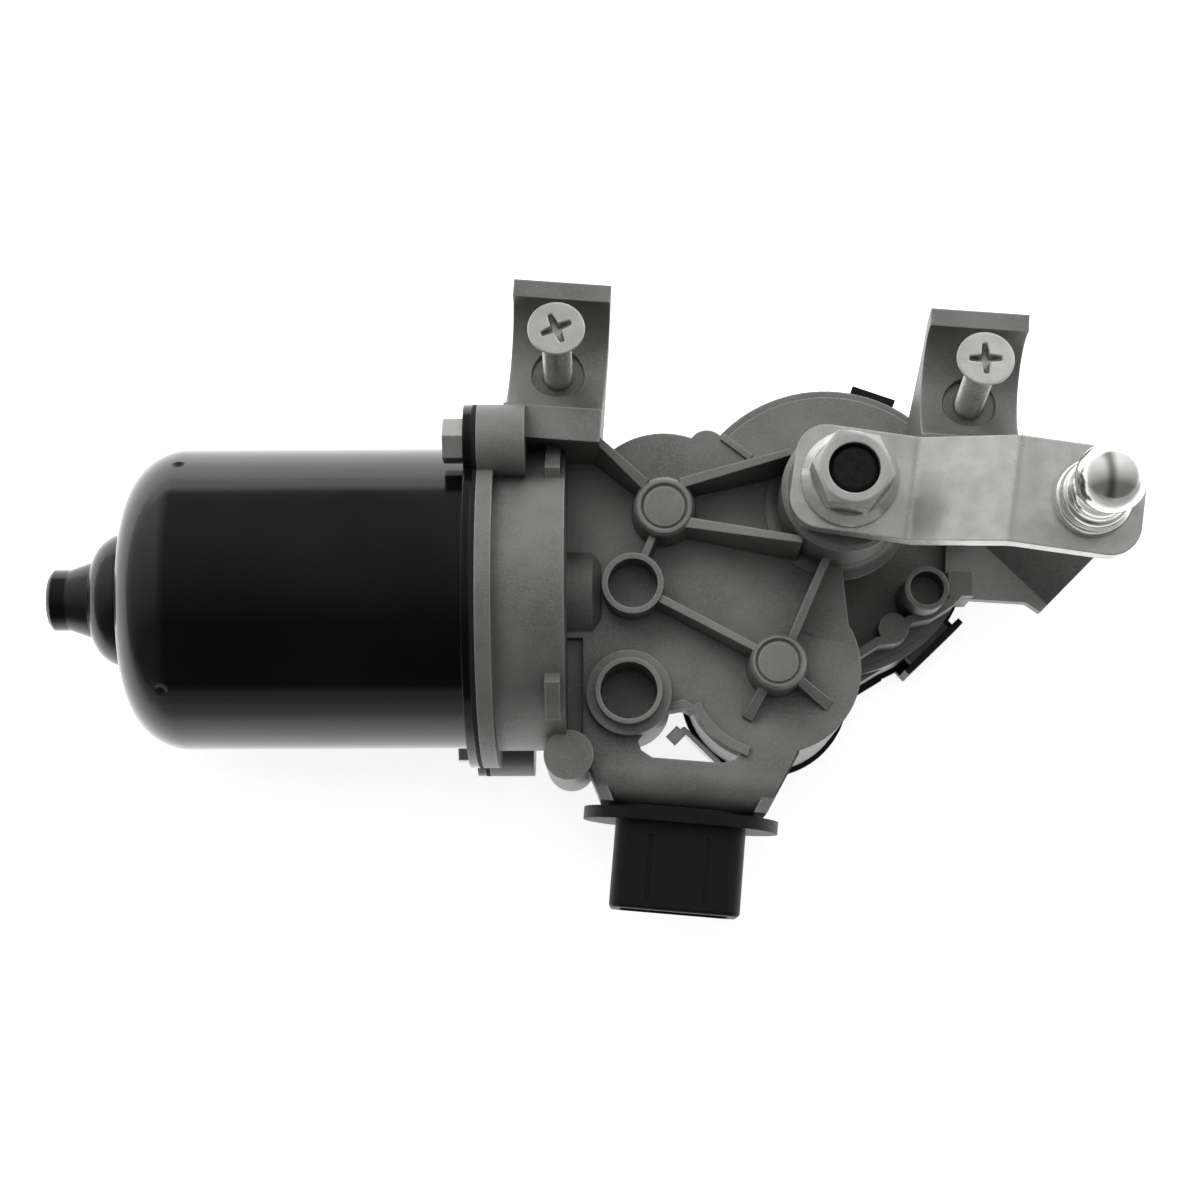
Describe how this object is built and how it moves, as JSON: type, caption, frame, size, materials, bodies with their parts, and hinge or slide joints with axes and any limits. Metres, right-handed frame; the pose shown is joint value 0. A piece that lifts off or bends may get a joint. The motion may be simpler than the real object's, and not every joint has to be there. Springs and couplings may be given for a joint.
{
  "type": "wiper motor",
  "caption": "Windscreen wiper motor: black round can, die-cast gear housing with tube saddles, plug socket and a joggled crank arm with ball stud.",
  "frame": {"origin": "output shaft axis, in the plane of the rear cover's outer face", "axes": "+Z along the output shaft out of the housing towards the crank, +X along the motor axis from the can towards the gear end, +Y towards the tube saddles"},
  "size_m": [0.2187, 0.1259, 0.104],
  "materials": {
    "cast_aluminium": "matte die casting",
    "black_paint": "gloss black",
    "zinc_steel": "bright zinc plating",
    "dark_steel": "dark phosphate",
    "ground_steel": "ground",
    "silicon_steel": "stacked sheets",
    "copper": "copper",
    "bronze": "sintered bronze",
    "ferrite": "fired ferrite",
    "carbon": "carbon",
    "black_plastic": "moulded",
    "brown_laminate": "laminate",
    "acetal": "moulded",
    "rubber": "moulded rubber"
  },
  "bodies": {
    "housing": {"gear_housing": "cast_aluminium", "motor_can": "black_paint", "can_bolts": "zinc_steel", "tube_screws": "zinc_steel", "ground_clip": "zinc_steel", "screw_inserts": "zinc_steel", "magnet_springs": "dark_steel", "brush_springs": "dark_steel", "rear_bearing_retainer": "dark_steel", "bearing_retainer": "dark_steel", "idler_pins": "ground_steel", "front_bearing_outer_ring": "ground_steel", "front_bearing_balls": "ground_steel", "park_contacts": "copper", "connector_terminals": "copper", "choke_coils": "copper", "rear_bearing": "bronze", "shaft_bushes": "bronze", "brush_holders": "bronze", "field_magnets": "ferrite", "carbon_brushes": "carbon", "rear_cover": "black_plastic", "connector_housing": "black_plastic", "thermal_switch": "black_plastic", "brush_plate": "brown_laminate", "capacitor": "brown_laminate", "thrust_pad": "acetal", "cover_gasket": "rubber", "can_gasket": "rubber", "connector_seal": "rubber", "shaft_seal": "rubber"},
    "output": {"output_shaft": "dark_steel", "output_gear": "acetal", "park_disc": "copper", "thrust_washer": "dark_steel", "retaining_clip": "dark_steel", "crank_arm": "zinc_steel", "crank_nut": "zinc_steel", "ball_stud": "zinc_steel"},
    "idler_a": {"idler_gear_a": "acetal"},
    "idler_b": {"idler_gear_b": "acetal"},
    "armature": {"armature_shaft": "ground_steel", "lamination_stack": "silicon_steel", "windings": "copper", "commutator": "copper", "front_bearing_inner_ring": "ground_steel"}
  },
  "joints": [
    {"name": "output_spin", "type": "hinge", "parent": "housing", "child": "output", "pos_m": [0, 0, 0.03], "axis": [0, 0, 1], "continuous": true},
    {"name": "idler_a_spin", "type": "hinge", "parent": "housing", "child": "idler_a", "pos_m": [-0.03559, -0.0015, 0.03], "axis": [0, 0, 1], "continuous": true},
    {"name": "idler_b_spin", "type": "hinge", "parent": "housing", "child": "idler_b", "pos_m": [-0.01317, -0.0331, 0.03], "axis": [0, 0, 1], "continuous": true},
    {"name": "armature_spin", "type": "hinge", "parent": "housing", "child": "armature", "pos_m": [-0.1, -0.0173, 0.035], "axis": [1, 0, 0], "continuous": true}
  ],
  "couplings": [
    {"joint": "idler_a_spin", "follows": "output_spin", "ratio": -3.3846},
    {"joint": "idler_b_spin", "follows": "output_spin", "ratio": -3.3846},
    {"joint": "armature_spin", "follows": "output_spin", "ratio": 81.231}
  ]
}
